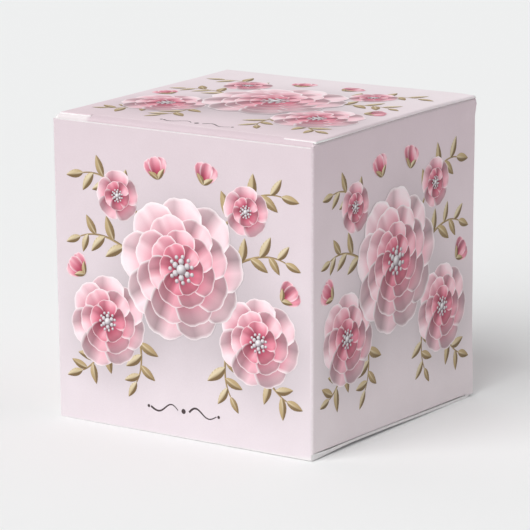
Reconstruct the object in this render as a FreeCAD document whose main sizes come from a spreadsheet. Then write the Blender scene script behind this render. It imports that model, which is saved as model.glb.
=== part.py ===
import FreeCAD, Part
import Sketcher
import os

# A folding favour box of printed board. One blank is creased into four walls and a glue flap,
# wrapped into a tube and glued at the back left corner. A panel with a tuck flap shuts each end,
# over two dust flaps: the lid hinges on the back wall, the base on the front wall.
# X runs from left to right, Y from front to back, Z up from the table. Sizes are in millimetres.

SIZES = [
    ("box_width", 50.8, "outside, left to right"),
    ("box_depth", 50.8, "outside, front to back"),
    ("box_height", 51.7, "outside, base to lid"),
    ("board", 0.46, "thickness of the board"),
    ("fold_inside", 0.05, "inside radius of a sharp crease"),
    ("tuck_fold_inside", 1.0, "inside radius of the soft crease of a tuck flap"),
    ("sheet_gap", 0.1, "between a dust flap and the end panel over it"),
    ("wall_gap", 0.24, "between a wall's cut edge and the end panel over it"),
    ("panel_inset", 0.6, "an end panel's sides, back from the outside of the side walls"),
    ("tuck_gap", 0.25, "between a tuck fold and the wall that it slides behind"),
    ("tuck_length", 11.0, "flat length of a tuck flap"),
    ("tuck_lean", 16.0, "degrees that a tuck flap leans inward"),
    ("tuck_side_gap", 1.2, "a tuck flap's sides, back from the inside of the side walls"),
    ("tuck_taper", 4.0, "degrees that a tuck flap narrows on each side"),
    ("tuck_corner", 5.0, "corner radius of a tuck flap"),
    ("slit_length", 5.8, "slit at each end of a tuck crease"),
    ("slit_width", 0.3, "clear width of a slit at its inner end"),
    ("dust_length", 19.0, "crease to edge of a dust flap"),
    ("dust_hinge_gap", 3.0, "a dust flap, back from the crease of the end panel over it"),
    ("dust_hinge_taper", 20.0, "degrees that a dust flap narrows on that side"),
    ("dust_tuck_gap", 2.2, "a dust flap, back from the inside of the tucked wall"),
    ("dust_tuck_taper", 8.0, "degrees that a dust flap narrows on that side"),
    ("dust_corner", 4.0, "corner radius of a dust flap"),
    ("dust_notch", 0.3, "cut between a dust crease and the wall's shoulder beside it"),
    ("glue_flap_width", 11.0, "crease to edge of the glue flap"),
    ("glue_flap_gap", 2.5, "the glue flap's root, in from each end of the box"),
    ("glue_flap_taper", 15.0, "degrees that the glue flap narrows at each end"),
    ("glue_film", 0.1, "thickness of the glue"),
    ("glue_margin", 1.5, "the glue, in from the edges of the glue flap"),
    ("seam_cut_back", 0.2, "the left wall's cut edge, in front of the back wall's outside"),
]

doc = FreeCAD.newDocument("favour_box")
sheet = doc.addObject("Spreadsheet::Sheet", "Sizes")
for row, (alias, number, note) in enumerate(SIZES, start=1):
    sheet.set(f"A{row}", note)
    sheet.set(f"B{row}", str(number))
    sheet.setAlias(f"B{row}", alias)
doc.recompute()


# Expressions
def value(expression):
    """Number that an expression has now."""
    result = sheet.evalExpression(expression)
    return float(getattr(result, "Value", result))


half_width = "(Sizes.box_width / 2)"
half_depth = "(Sizes.box_depth / 2)"
height = "Sizes.box_height"
half_board = "(Sizes.board / 2)"

# A crease is a bend whose two boards end where the bend begins, this far from where they would meet.
fold_reach = f"(Sizes.fold_inside + {half_board})"
fold_outside = "(Sizes.fold_inside + Sizes.board)"
tuck_radius = f"(Sizes.tuck_fold_inside + {half_board})"
tuck_outside = "(Sizes.tuck_fold_inside + Sizes.board)"

# Middle planes of the walls
wall_x = f"({half_width} - {half_board})"
wall_y = f"({half_depth} - {half_board})"
seam_x = f"({wall_x} - Sizes.board - Sizes.glue_film)"

# Flat extent of a wall between two corner creases
flat_x = f"({half_width} - {fold_outside})"
flat_y = f"({half_depth} - {fold_outside})"

# Depths below the top, or above the table, of a wall's end at an end panel's crease, under an end
# panel and at a dust flap's crease
hinge_end = f"({half_board} + {fold_reach})"
covered_end = "(Sizes.board + Sizes.wall_gap)"
dust_level = f"(Sizes.board + Sizes.sheet_gap + {half_board})"
dust_end = f"({dust_level} + {fold_reach})"

# An end panel, seen with its crease at the front: half width, tuck crease and tongues
panel_half = f"({half_width} - Sizes.panel_inset)"
crease_half = f"({panel_half} - Sizes.slit_length)"
tongue_inner = f"({crease_half} + Sizes.slit_width)"
tongue_y = f"({half_depth} - Sizes.board - Sizes.tuck_gap)"
tuck_bend_y = f"({tongue_y} - {tuck_outside})"
tuck_bend_z = f"({half_board} + {tuck_radius})"

# A dust flap's crease, seen the same way
dust_near = f"(Sizes.dust_hinge_gap - {wall_y})"
dust_far = f"({half_depth} - Sizes.board - Sizes.dust_tuck_gap)"

X = FreeCAD.Vector(1, 0, 0)
Y = FreeCAD.Vector(0, 1, 0)
Z = FreeCAD.Vector(0, 0, 1)


def axes(x, y):
    """Rotation that takes the local X and Y axes to the given directions."""
    return FreeCAD.Rotation(x, y, x.cross(y), "XYZ")


def minus(expression):
    """Expression with its sign changed."""
    return f"(-{expression})"


# Building blocks
def new_sketch(body, corners):
    """Closed outline on the body's XY plane through corners, each a pair of expressions."""
    planes = {feature.Role: feature for feature in body.Origin.OriginFeatures}
    sketch = body.newObject("Sketcher::SketchObject", body.Name + "_outline")
    sketch.AttachmentSupport = (planes["XY_Plane"], [""])
    sketch.MapMode = "FlatFace"
    points = [FreeCAD.Vector(value(x), value(y), 0) for x, y in corners]
    for index, point in enumerate(points):
        following = points[(index + 1) % len(points)]
        sketch.addGeometry(Part.LineSegment(point, following))
    for index in range(len(points)):
        following = (index + 1) % len(points)
        sketch.addConstraint(Sketcher.Constraint("Coincident", index, 2, following, 1))
    for index, (corner, point) in enumerate(zip(corners, points)):
        for kind, expression, number in zip(("DistanceX", "DistanceY"), corner, point):
            place = sketch.addConstraint(Sketcher.Constraint(kind, -1, 1, index, 1, number))
            sketch.setExpression(f"Constraints[{place}]", expression)
    return sketch


def place_body(body, base, rotation):
    """Put the body's local origin at base, a triple of expressions, turned by rotation."""
    body.Placement = FreeCAD.Placement(FreeCAD.Vector(), rotation)
    for axis, expression in zip("xyz", base):
        body.setExpression(f"Placement.Base.{axis}", expression)


def new_plate(label, corners, base, rotation, thickness="Sizes.board"):
    """Flat sheet with the given outline. Its middle plane is the local XY plane."""
    body = doc.addObject("PartDesign::Body", label)
    pad = body.newObject("PartDesign::Pad", label + "_sheet")
    pad.Profile = new_sketch(body, corners)
    pad.SideType = "Symmetric"
    pad.setExpression("Length", thickness)
    body.Tip = pad
    place_body(body, base, rotation)
    doc.recompute()
    return body


def round_corners(body, corners, radius):
    """Round the plate's edges that pass through the given corners of its outline."""
    sheet_feature = body.Tip
    names = []
    for number, edge in enumerate(sheet_feature.Shape.Edges, start=1):
        ends = [vertex.Point for vertex in edge.Vertexes]
        for x, y in corners:
            corner = FreeCAD.Vector(value(x), value(y), 0)
            if all(FreeCAD.Vector(end.x, end.y, 0).isEqual(corner, 1e-4) for end in ends):
                names.append(f"Edge{number}")
    fillet = body.newObject("PartDesign::Fillet", body.Name + "_corners")
    fillet.Base = (sheet_feature, names)
    fillet.setExpression("Radius", radius)
    body.Tip = fillet
    doc.recompute()


def new_fold(label, ends, inside, turn, base, rotation):
    """Bent strip of board about the local X axis, from local +Y towards +Z, between two ends."""
    near, far = ends
    outside = f"({inside} + Sizes.board)"
    corners = [(near, inside), (far, inside), (far, outside), (near, outside)]
    body = doc.addObject("PartDesign::Body", label)
    sketch = new_sketch(body, corners)
    bend = body.newObject("PartDesign::Revolution", label + "_bend")
    bend.Profile = sketch
    bend.ReferenceAxis = (sketch, ["H_Axis"])
    bend.setExpression("Angle", turn)
    body.Tip = bend
    place_body(body, base, rotation)
    doc.recompute()
    return body


# Walls
def rectangle(x_near, x_far, y_near, y_far):
    """Corners of a rectangle."""
    return [(x_near, y_near), (x_far, y_near), (x_far, y_far), (x_near, y_far)]


def side_wall_corners(back_edge):
    """Outline of a side wall: shoulders at its corners, and a lower stretch at each dust crease."""
    notch_near = f"({dust_near} - Sizes.dust_notch)"
    notch_far = f"({dust_far} + Sizes.dust_notch)"
    top_covered = f"({height} - {covered_end})"
    top_dust = f"({height} - {dust_end})"
    bottom = [
        (minus(flat_y), covered_end),
        (notch_near, covered_end),
        (notch_near, dust_end),
        (notch_far, dust_end),
        (notch_far, covered_end),
        (back_edge, covered_end),
    ]
    top = [
        (back_edge, top_covered),
        (minus(notch_near), top_covered),
        (minus(notch_near), top_dust),
        (minus(notch_far), top_dust),
        (minus(notch_far), top_covered),
        (minus(flat_y), top_covered),
    ]
    return bottom + top


def build_walls():
    """The four walls of the tube."""
    front = rectangle(minus(flat_x), flat_x, hinge_end, f"({height} - {covered_end})")
    new_plate("front_wall", front, ("0", minus(wall_y), "0"), axes(X, Z))
    back_left = f"({fold_reach} - {seam_x})"
    back = rectangle(back_left, flat_x, covered_end, f"({height} - {hinge_end})")
    new_plate("back_wall", back, ("0", wall_y, "0"), axes(X, Z))
    new_plate("right_wall", side_wall_corners(flat_y), (wall_x, "0", "0"), axes(Y, Z))
    cut_edge = f"({half_depth} - Sizes.seam_cut_back)"
    new_plate("left_wall", side_wall_corners(cut_edge), (minus(wall_x), "0", "0"), axes(Y, Z))


def build_corner_folds():
    """The four upright creases. The seam crease lies inside the left wall."""
    ends = (covered_end, f"({height} - {covered_end})")
    seam_bend_x = f"({fold_reach} - {seam_x})"
    for label, x, y, start in (
        ("front_right_fold", flat_x, minus(flat_y), -Y),
        ("back_right_fold", flat_x, flat_y, X),
        ("seam_fold", seam_bend_x, flat_y, Y),
        ("front_left_fold", minus(flat_x), minus(flat_y), -X),
    ):
        new_fold(label, ends, "Sizes.fold_inside", "90", (x, y, "0"), axes(Z, start))


def build_seam():
    """The glue flap on the inside of the left wall, and the glue between them."""
    root = "Sizes.glue_flap_gap"
    drop = f"((Sizes.glue_flap_width - {fold_reach}) * tan(Sizes.glue_flap_taper))"
    narrow = f"({root} + {drop})"
    flap = [
        (root, fold_reach),
        (f"({height} - {root})", fold_reach),
        (f"({height} - {narrow})", "Sizes.glue_flap_width"),
        (narrow, "Sizes.glue_flap_width"),
    ]
    new_plate("glue_flap", flap, (minus(seam_x), wall_y, "0"), axes(Z, -Y))
    near = f"({narrow} + Sizes.glue_margin)"
    film = rectangle(
        near,
        f"({height} - {near})",
        f"({fold_reach} + Sizes.glue_margin)",
        "(Sizes.glue_flap_width - Sizes.glue_margin)",
    )
    film_x = f"({half_width} - Sizes.board - Sizes.glue_film / 2)"
    new_plate("seam_glue", film, (minus(film_x), wall_y, "0"), axes(Z, -Y), "Sizes.glue_film")


# Ends. Each is drawn as the base, with its crease at the front. The lid is the base turned over.
def at_end(end, base):
    """Place of a point of the given end, from its place on the base."""
    x, y, z = base
    if end == "base":
        return base
    return (x, minus(y), f"({height} - {z})")


def turned(end, rotation):
    """Rotation of a piece of the given end, from its rotation on the base."""
    if end == "base":
        return rotation
    return FreeCAD.Rotation(X, 180).multiply(rotation)


def build_end_panel(end):
    """End panel with a tongue beyond each slit, and its crease to the wall."""
    back = f"({fold_reach} - {wall_y})"
    panel = [
        (minus(panel_half), back),
        (panel_half, back),
        (panel_half, tongue_y),
        (tongue_inner, tongue_y),
        (tongue_inner, tuck_bend_y),
        (minus(tongue_inner), tuck_bend_y),
        (minus(tongue_inner), tongue_y),
        (minus(panel_half), tongue_y),
    ]
    base = at_end(end, ("0", "0", half_board))
    new_plate(end + "_panel", panel, base, turned(end, axes(X, Y)))
    ends = (minus(panel_half), panel_half)
    base = at_end(end, ("0", minus(flat_y), fold_outside))
    new_fold(end + "_fold", ends, "Sizes.fold_inside", "90", base, turned(end, axes(X, -Y)))


def build_tuck_flap(end):
    """Tuck flap that leans inward, with an ear below each slit, and its soft crease."""
    half = f"({half_width} - Sizes.board - Sizes.tuck_side_gap)"
    narrow = f"({half} - Sizes.tuck_length * tan(Sizes.tuck_taper))"
    ear = f"({tuck_outside} + Sizes.slit_width)"
    length = "Sizes.tuck_length"
    flap = [
        (minus(crease_half), "0"),
        (crease_half, "0"),
        (crease_half, ear),
        (half, ear),
        (narrow, length),
        (minus(narrow), length),
        (minus(half), ear),
        (minus(crease_half), ear),
    ]
    tilt = {"base": "90", "lid": "270"}[end]
    start_y = f"({tuck_bend_y} + {tuck_radius} * cos(Sizes.tuck_lean))"
    start_z = f"({tuck_bend_z} + {tuck_radius} * sin(Sizes.tuck_lean))"
    base = at_end(end, ("0", start_y, start_z))
    body = new_plate(end + "_tuck_flap", flap, base, turned(end, axes(X, Z)))
    body.setExpression("Placement.Rotation.Angle", f"({tilt} + Sizes.tuck_lean)")
    round_corners(body, [(narrow, length), (minus(narrow), length)], "Sizes.tuck_corner")
    ends = (minus(crease_half), crease_half)
    base = at_end(end, ("0", tuck_bend_y, tuck_bend_z))
    turn = "(90 + Sizes.tuck_lean)"
    label = end + "_tuck_fold"
    new_fold(label, ends, "Sizes.tuck_fold_inside", turn, base, turned(end, axes(X, -Z)))


def build_dust_flaps(end):
    """Dust flaps on the side walls, narrowed so that the panel over them lifts clear."""
    length = "Sizes.dust_length"
    tip_near = f"({dust_near} + {length} * tan(Sizes.dust_hinge_taper))"
    tip_far = f"({dust_far} - {length} * tan(Sizes.dust_tuck_taper))"
    outline = [(dust_near, fold_reach), (tip_near, length), (tip_far, length), (dust_far, fold_reach)]
    for side, outward in (("right", X), ("left", -X)):
        label = f"{end}_{side}_dust"
        if side == "right":
            x, bend_x = wall_x, flat_x
            flap, ends = outline, (minus(dust_far), minus(dust_near))
        else:
            x, bend_x = minus(wall_x), minus(flat_x)
            flap, ends = [(minus(along), away) for along, away in outline], (dust_near, dust_far)
        along = outward.cross(Z).negative()
        base = at_end(end, (x, "0", dust_level))
        body = new_plate(label + "_flap", flap, base, turned(end, axes(along, -outward)))
        round_corners(body, flap[1:3], "Sizes.dust_corner")
        base = at_end(end, (bend_x, "0", dust_end))
        rotation = turned(end, axes(-along, -Z))
        new_fold(label + "_fold", ends, "Sizes.fold_inside", "90", base, rotation)


build_walls()
build_corner_folds()
build_seam()
for end in ("lid", "base"):
    build_end_panel(end)
    build_tuck_flap(end)
    build_dust_flaps(end)
doc.recompute()

# Checks before writing
bodies = [item for item in doc.Objects if item.isDerivedFrom("PartDesign::Body")]
for item in doc.Objects:
    if "Invalid" in item.State or "Error" in item.State:
        raise RuntimeError(f"{item.Label} failed: {item.State}")
for body in bodies:
    if body.Shape.isNull() or not body.Shape.isValid() or len(body.Shape.Solids) != 1:
        raise RuntimeError(f"{body.Label} is not one valid solid")

os.makedirs("parts", exist_ok=True)
for body in bodies:
    body.Shape.exportStep(f"parts/{body.Label}.step")
    print(f"{body.Label}: {body.Shape.Volume:.2f} mm3")
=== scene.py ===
import bpy
import numpy as np
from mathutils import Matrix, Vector


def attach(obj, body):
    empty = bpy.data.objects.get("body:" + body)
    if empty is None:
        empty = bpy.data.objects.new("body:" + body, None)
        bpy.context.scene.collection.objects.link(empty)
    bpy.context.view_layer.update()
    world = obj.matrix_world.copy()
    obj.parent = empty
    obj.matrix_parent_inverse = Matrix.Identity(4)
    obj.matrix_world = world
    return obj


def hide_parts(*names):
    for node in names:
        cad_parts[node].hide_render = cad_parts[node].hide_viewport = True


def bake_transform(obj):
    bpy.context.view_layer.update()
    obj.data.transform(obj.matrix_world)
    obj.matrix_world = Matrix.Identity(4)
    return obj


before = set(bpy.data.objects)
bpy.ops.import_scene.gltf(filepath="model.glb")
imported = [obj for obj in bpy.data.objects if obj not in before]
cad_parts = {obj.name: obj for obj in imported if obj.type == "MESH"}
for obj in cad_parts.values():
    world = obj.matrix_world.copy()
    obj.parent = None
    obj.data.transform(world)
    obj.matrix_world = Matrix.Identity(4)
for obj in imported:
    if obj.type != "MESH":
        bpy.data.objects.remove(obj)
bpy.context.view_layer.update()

# Sizes of the box in millimetres: its outside, board and flaps as in the part's source, with closer gaps
MM = 0.001
WIDTH = 50.8
HEIGHT = 51.7
BOARD = 0.46
CREASE = 0.05
CREASE_OUTSIDE = CREASE + BOARD
CREASE_REACH = CREASE + BOARD / 2
SHEET_GAP = 0.02
TOP_END = BOARD + 0.49
FOOT_END = BOARD + 0.04
BARE_RIM = 0.15
HALF = WIDTH / 2
FLAT = HALF - CREASE_OUTSIDE
HINGE_END = BOARD / 2 + CREASE_REACH
DUST_TOP = BOARD + SHEET_GAP
DUST_END = DUST_TOP + CREASE_OUTSIDE
PANEL_HALF = HALF - 0.25
HINGE_HALF = HALF - 0.03
HINGE_WIDEN = 9.0
FOOT_POWER = 6
ROOT_SHARE = 0.95
EDGE_ROUND = 0.3
EDGE_DROP = 0.4
EDGE_DROP_END = 12.0
TONGUE_PINCH = 0.18
PINCH_REACH = 0.8
PINCH_SIDE = 1.0
TONGUE_ROUND = 0.1
TUCK_HALF = HALF - 0.6 - 5.8
TONGUE_INNER = TUCK_HALF + 0.02
TONGUE_GAP = BOARD + 0.25
TONGUE_END = 1.3
TUCK_INSIDE = 1.0
TUCK_OUTSIDE = TUCK_INSIDE + BOARD
TUCK_LEAN = np.radians(16)
TUCK_LENGTH = 11.0
TUCK_TAPER = np.radians(4)
TUCK_CORNER = 5.0
TUCK_RUN = 1.4
TUCK_EAR = TUCK_OUTSIDE + 0.3
TUCK_WIDE = HALF - BOARD - 1.2
EAR_START = 36.0
LID_EARS = HALF - 0.07, HALF - 0.72
BASE_EARS = HALF - 1.9, HALF - 1.9
DUST_LENGTH = 19.0
DUST_NEAR = HALF - BOARD / 2 - 3.0
DUST_FAR = HALF - BOARD - 2.2
DUST_TAPER_NEAR = np.radians(20)
DUST_TAPER_FAR = np.radians(8)
DUST_CORNER = 4.0
DUST_NOTCH = 0.1
DUST_SHORT = 0.6
SEAM_X = HALF - BOARD / 2 - BOARD - 0.1
SEAM_SHORT = 0.2
GLUE_WIDE = 11.0
GLUE_END = 2.5
GLUE_TAPER = np.radians(15)
CREASE_CLIMB = 3.0

# Spacing of the grids, and the angle from which an edge is sharp
STEP = 0.02
PITCH = 0.9
FLAP_PITCH = 1.5
WALL_ROWS = 56
PANEL_ROWS = 54
ROOT_STEPS = 12
FLAP_ROWS = 24
GLUE_ROWS = 20
ARC_STEPS = 11
RUN_STEPS = 6
CORNER_STEPS = 12
EDGE_STEPS = np.radians([0, 18, 36, 54, 72, 90])
TONGUE_STEPS = np.radians([90, 60, 40, 20])
SHARP_ANGLE = 0.6

# How the board has settled: the back wall flares at its crease, top and foot, the left wall leans, the
# side walls draw in under the lid, the back right corner stands a little higher, the foot slopes down to
# the front right with its nearest corner raised, the base is arched off the floor on its right and bowed
# down to it along its front, and the panels are crowned. A pair is the two ends of a smooth step.
CREASE_PUSH = 0.55
CREASE_HEIGHTS = HEIGHT - 3.5, HEIGHT - 1.5
CORNER_PRESS = 1.2
PRESS_HEIGHTS = HEIGHT - 1.2, HEIGHT
PRESS_WIDTHS = HALF - 3, HALF - 0.3
BACK_PUSH = 0.2
BACK_DEPTHS = HALF - 6, HALF
BACK_FLARE = 0.25
FLARE_HEIGHTS = 30, 48
FOOT_FLARE = 0.4
FOOT_FLARE_HEIGHTS = 2, 14
LEFT_LEAN = 0.52
LEFT_DRAW = 0.2
LEFT_HEIGHTS = HEIGHT - 5, HEIGHT - 1.2
RIGHT_DRAW = 0.45
RIGHT_HEIGHTS = HEIGHT - 9, HEIGHT - 1.6
DRAW_WIDTHS = HALF - 2, HALF - 0.6
DRAW_ENDS = 0.6, 4
CORNER_RISE = 0.3
EDGE_RISE = 0.2
RISE_WIDTHS = -10, HALF
RISE_HEIGHTS = 30, HEIGHT
FOOT_LEVEL = -0.08
FOOT_SLOPE = np.array([-0.7, 0.46]) / WIDTH
FOOT_HEIGHTS = 1.5, 12
FOOT_HANG = 0.5
HANG_FRONT = -HALF, 5 - HALF
HANG_BACK = DUST_FAR - 1, DUST_FAR
BASE_ARCH = 0.25
ARCH_WIDTHS = 12, HALF
ARCH_FORWARD = 0.6
BASE_DROOP = 0.25
DROOP_DEPTHS = -FLAT, 12.0 - FLAT
# The shares of the base crease's turn that droop also pale it to white, which is painted light.
DROOP_AND_PAINTED_LIGHT_TURN = 0.35, 0.55
NEAR_RISE = 0.36
NEAR_REACH = 6.0
WALL_CROWN = 0.1

X, Y, Z = np.eye(3)
rng = np.random.default_rng(11)


# Arrays
def smooth(value, low, high):
    """Smooth step from 0 at low to 1 at high."""
    share = np.clip((value - low) / (high - low), 0, 1)
    return share * share * (3 - 2 * share)


def mix(first, second, share):
    """Colours from first to second by a share for each point."""
    share = np.asarray(share)[..., None]
    return np.asarray(first) * (1 - share) + np.asarray(second) * share


def colour(red, green, blue):
    """Display colour, each part from 0 to 255, as shares of 1."""
    return np.array([red, green, blue]) / 255


def linear(display):
    """Light that a display colour stands for."""
    display = np.clip(display, 0, 1)
    return np.where(display < 0.04045, display / 12.92, ((display + 0.055) / 1.055) ** 2.4)


def near_rise(x, y):
    """Height that the foot's front right corner stands up, with a smooth step to nothing over
    NEAR_REACH."""
    return NEAR_RISE * smooth(x, HALF - NEAR_REACH, HALF) * smooth(-y, HALF - NEAR_REACH, HALF)


def settled(points, leans=True, hang=1.0):
    """Points of the square box moved as the board has settled. The last 6 mm beside the back wall go
    back by BACK_PUSH, more at the foot, in the upper third and most at the lid's crease, whose right
    end is pressed in again. The left side goes out at the top and in at the foot by LEFT_LEAN, and less
    nearer the right wall. The side walls go in by LEFT_DRAW and RIGHT_DRAW under the lid. The upper
    back right corner rises by CORNER_RISE and the middle of the lid's right edge by EDGE_RISE. The foot
    goes by the share hang to a sloping plane with near_rise added."""
    x, y, z = np.moveaxis(points, -1, 0)
    push = BACK_PUSH + BACK_FLARE * smooth(z, *FLARE_HEIGHTS)
    push = push + FOOT_FLARE * (1 - smooth(z, *FOOT_FLARE_HEIGHTS))
    press = CORNER_PRESS * smooth(z, *PRESS_HEIGHTS) * smooth(x, *PRESS_WIDTHS)
    push = push + CREASE_PUSH * (smooth(z, *CREASE_HEIGHTS) - press)
    lean = LEFT_LEAN * (2 * z / HEIGHT - 1) * (HALF - x) / WIDTH
    side = np.sign(x) * smooth(np.abs(x), *DRAW_WIDTHS) * smooth(HALF - np.abs(y), *DRAW_ENDS)
    left, right = LEFT_DRAW * smooth(z, *LEFT_HEIGHTS), RIGHT_DRAW * smooth(z, *RIGHT_HEIGHTS)
    draw = lean + side * np.where(x > 0, right, left)
    edge = EDGE_RISE * np.sin(np.pi * np.clip(y / WIDTH + 0.5, 0, 1))
    rise = CORNER_RISE * smooth(y, -HALF, HALF) + edge
    rise = rise * smooth(x, *RISE_WIDTHS) * smooth(z, *RISE_HEIGHTS)
    foot = FOOT_LEVEL + x * FOOT_SLOPE[0] + y * FOOT_SLOPE[1] + near_rise(x, y)
    foot = foot * (1 - smooth(z, *FOOT_HEIGHTS))
    y = y + push * smooth(y, *BACK_DEPTHS)
    return np.stack([x - draw if leans else x, y, z + rise + hang * foot], axis=-1)


def lifted(points):
    """Points of the base with its right edge arched a little off the floor, as a sine squared from
    front to back that is highest nearer the front."""
    x, y, z = np.moveaxis(points, -1, 0)
    way = np.clip(y / WIDTH + 0.5, 0, 1) ** ARCH_FORWARD
    arch = BASE_ARCH * np.sin(np.pi * way) ** 2 * smooth(x, *ARCH_WIDTHS)
    return np.stack([x, y, z + arch], axis=-1)


def drooped(points, share=1.0):
    """Points of the base's outside, bowed down to the floor by a share. Along the front they fall by
    BASE_DROOP at the right end, in proportion less towards the left end, and with a smooth step to
    nothing to the back. Below the raised corner they fall by near_rise as well."""
    x, y, z = np.moveaxis(points, -1, 0)
    fall = BASE_DROOP * (x / WIDTH + 0.5) * (1 - smooth(y, *DROOP_DEPTHS)) + near_rise(x, y)
    return np.stack([x, y, z - fall * share], axis=-1)


def right_hang(points):
    """Share of the foot's fall that the right wall takes: all of it at both ends and FOOT_HANG between."""
    y = points[..., 1]
    between = smooth(y, *HANG_FRONT) * (1 - smooth(y, *HANG_BACK))
    return 1 - (1 - FOOT_HANG) * between


def turned_over(points):
    """Points of the lid's end moved to the base's end, half a turn about the box's middle."""
    return points * [1, -1, -1] + [0, 0, HEIGHT]


class Face:
    """Nearly flat outside of a sheet: an origin and the directions across and up."""

    def __init__(self, origin, across, up, crown=0.0):
        self.origin = np.asarray(origin, float)
        self.across = np.asarray(across, float)
        self.up = np.asarray(up, float)
        self.out = np.cross(across, up)
        self.crown = crown

    def points(self, across, up, depth):
        """Origin plus across and up along the face, plus depth and crown along its normal. The crown is
        highest in the middle and falls with the square of the distance to nothing at the edges."""
        dome = (1 - (across / HALF) ** 2) * (1 - (2 * up / HEIGHT - 1) ** 2)
        rise = depth + self.crown * np.clip(dome, 0, 1)
        return (
            self.origin
            + across[..., None] * self.across
            + up[..., None] * self.up
            + rise[..., None] * self.out
        )


FRONT = Face((0, -HALF, 0), X, Z, WALL_CROWN)
RIGHT = Face((HALF, 0, 0), Y, Z, WALL_CROWN)
BACK = Face((0, HALF, 0), -X, Z, WALL_CROWN)
LEFT = Face((-HALF, 0, 0), -Y, Z, WALL_CROWN)
LID = Face((0, -HALF, HEIGHT), X, Y, WALL_CROWN)
BASE = Face((0, -HALF, HEIGHT), X, Y)


# Shader nodes
class Wire:
    """An output socket of a node tree. Arithmetic on it adds Math nodes."""

    def __init__(self, tree, socket=None):
        self.tree = tree
        self.socket = socket

    def add(self, kind, settings=None, sockets=None, output=0):
        """New node of a kind, its settings first, then the values or wires of its sockets."""
        node = self.tree.nodes.new("ShaderNode" + kind)
        for key, setting in (settings or {}).items():
            setattr(node, key, setting)
        for key, source in (sockets or {}).items():
            if isinstance(source, Wire):
                self.tree.links.new(source.socket, node.inputs[key])
            else:
                node.inputs[key].default_value = source
        return Wire(self.tree, node.outputs[output])

    def math(self, operation, first, second):
        """Math node of an operation on two numbers or wires."""
        return self.add("Math", {"operation": operation}, {0: first, 1: second})

    def __add__(self, other):
        return self.math("ADD", self, other)

    def __mul__(self, other):
        return self.math("MULTIPLY", self, other)

    __radd__ = __add__
    __rmul__ = __mul__

    def between(self, low, high):
        """Share of the way from low to high, held between 0 and 1, with a smooth step."""
        return self.add(
            "MapRange",
            {"interpolation_type": "SMOOTHSTEP"},
            {"Value": self, "From Min": low, "From Max": high},
        )

    def blended(self, first, second):
        """Colour from first to second, by this wire as the share."""
        return self.add("Mix", {"data_type": "RGBA"}, {0: self, 6: first, 7: second}, 2)


def rgba(display):
    """Display colour as the four numbers of a colour socket."""
    return (*linear(display), 1.0)


def new_finish(name):
    """Empty material, with a wire to build its nodes on and its object coordinates."""
    material = bpy.data.materials.new(name)
    material.use_nodes = True
    material.node_tree.nodes.clear()
    tree = Wire(material.node_tree)
    return material, tree, tree.add("TexCoord", output=3)


def noise(place, scale, detail=2.0):
    """Soft noise from 0 to 1 with about scale waves to a metre."""
    return place.add("TexNoise", {}, {"Vector": place, "Scale": scale, "Detail": detail})


def shade(tree, base, roughness, relief, depth, gloss):
    """Dull surface: colour, roughness, a bump of relief times depth in metres, and a level of gloss."""
    bump = tree.add("Bump", {}, {"Height": relief, "Distance": depth, "Strength": 0.5})
    sockets = {"Base Color": base, "Roughness": roughness, "Normal": bump, "Specular IOR Level": gloss}
    surface = tree.add("BsdfPrincipled", {}, sockets)
    out = tree.tree.nodes.new("ShaderNodeOutputMaterial")
    tree.tree.links.new(surface.socket, out.inputs["Surface"])


PAPER_WHITE = colour(247, 245, 244)
INK_TONES = colour(249, 248, 248), colour(255, 255, 255)
FIBRE_TONES = colour(228, 225, 223), colour(243, 241, 239)
EDGE_TONES = colour(240, 237, 237), colour(250, 248, 248)
GLUE_TONES = colour(232, 226, 205), colour(243, 239, 225)


def printed_finish():
    """Coated board with ink: the ink colour with a faint mottle and grain, and bare paper where a
    crease has cracked the ink."""
    material, tree, place = new_finish("printed_board")
    ink = tree.add("Attribute", {"attribute_name": "ink"}, output=0)
    wear = tree.add("Attribute", {"attribute_name": "wear"}, output=2)
    mottle = noise(place, 160, 3.0)
    grain = noise(place, 5200, 2.0)
    fibre = noise(place, 1500, 3.0)
    darker = 0.5 * mottle + 0.5 * grain
    toned = darker.between(0.25, 0.75).blended(*map(rgba, INK_TONES))
    multiply = {"data_type": "RGBA", "blend_type": "MULTIPLY"}
    inked = tree.add("Mix", multiply, {0: 1.0, 6: ink, 7: toned}, 2)
    cracked = wear * fibre.between(0.42, 0.62)
    base = cracked.blended(inked, rgba(PAPER_WHITE))
    roughness = 0.56 + 0.1 * mottle + 0.25 * cracked
    shade(tree, base, roughness, grain + fibre * 0.5, 0.00002, 0.25)
    return material


def white_finish():
    """Uncoated inside of the board: white with fine short fibres and faint clouds."""
    material, tree, place = new_finish("white_board")
    fibre = noise(place, 2600, 4.0)
    cloud = noise(place, 220, 2.0)
    share = fibre.between(0.3, 0.75) * 0.7 + cloud * 0.3
    base = share.blended(*map(rgba, FIBRE_TONES))
    shade(tree, base, 0.82 + 0.1 * cloud, fibre, 0.00005, 0.25)
    return material


def cut_edge_finish():
    """Raw cut edge of the board: pale core with fibres torn by the knife."""
    material, tree, place = new_finish("cut_edge")
    fibre = noise(place, 3800, 4.0)
    long_fibre = noise(place, 900, 2.0)
    share = 0.6 * fibre + 0.4 * long_fibre
    base = share.between(0.3, 0.7).blended(*map(rgba, EDGE_TONES))
    shade(tree, base, 0.86 + 0.1 * fibre, fibre, 0.000015, 0.2)
    return material


def glue_finish():
    """Dried glue: cloudy and faintly yellow, with small bubbles."""
    material, tree, place = new_finish("dried_glue")
    cloud = noise(place, 400, 3.0)
    bubbles = tree.add("TexVoronoi", {}, {"Vector": place, "Scale": 900.0})
    base = cloud.blended(*map(rgba, GLUE_TONES))
    shade(tree, base, 0.4 + 0.2 * cloud, bubbles + cloud, 0.00004, 0.4)
    return material


PRINTED, WHITE, EDGE, GLUE = printed_finish(), white_finish(), cut_edge_finish(), glue_finish()


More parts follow.
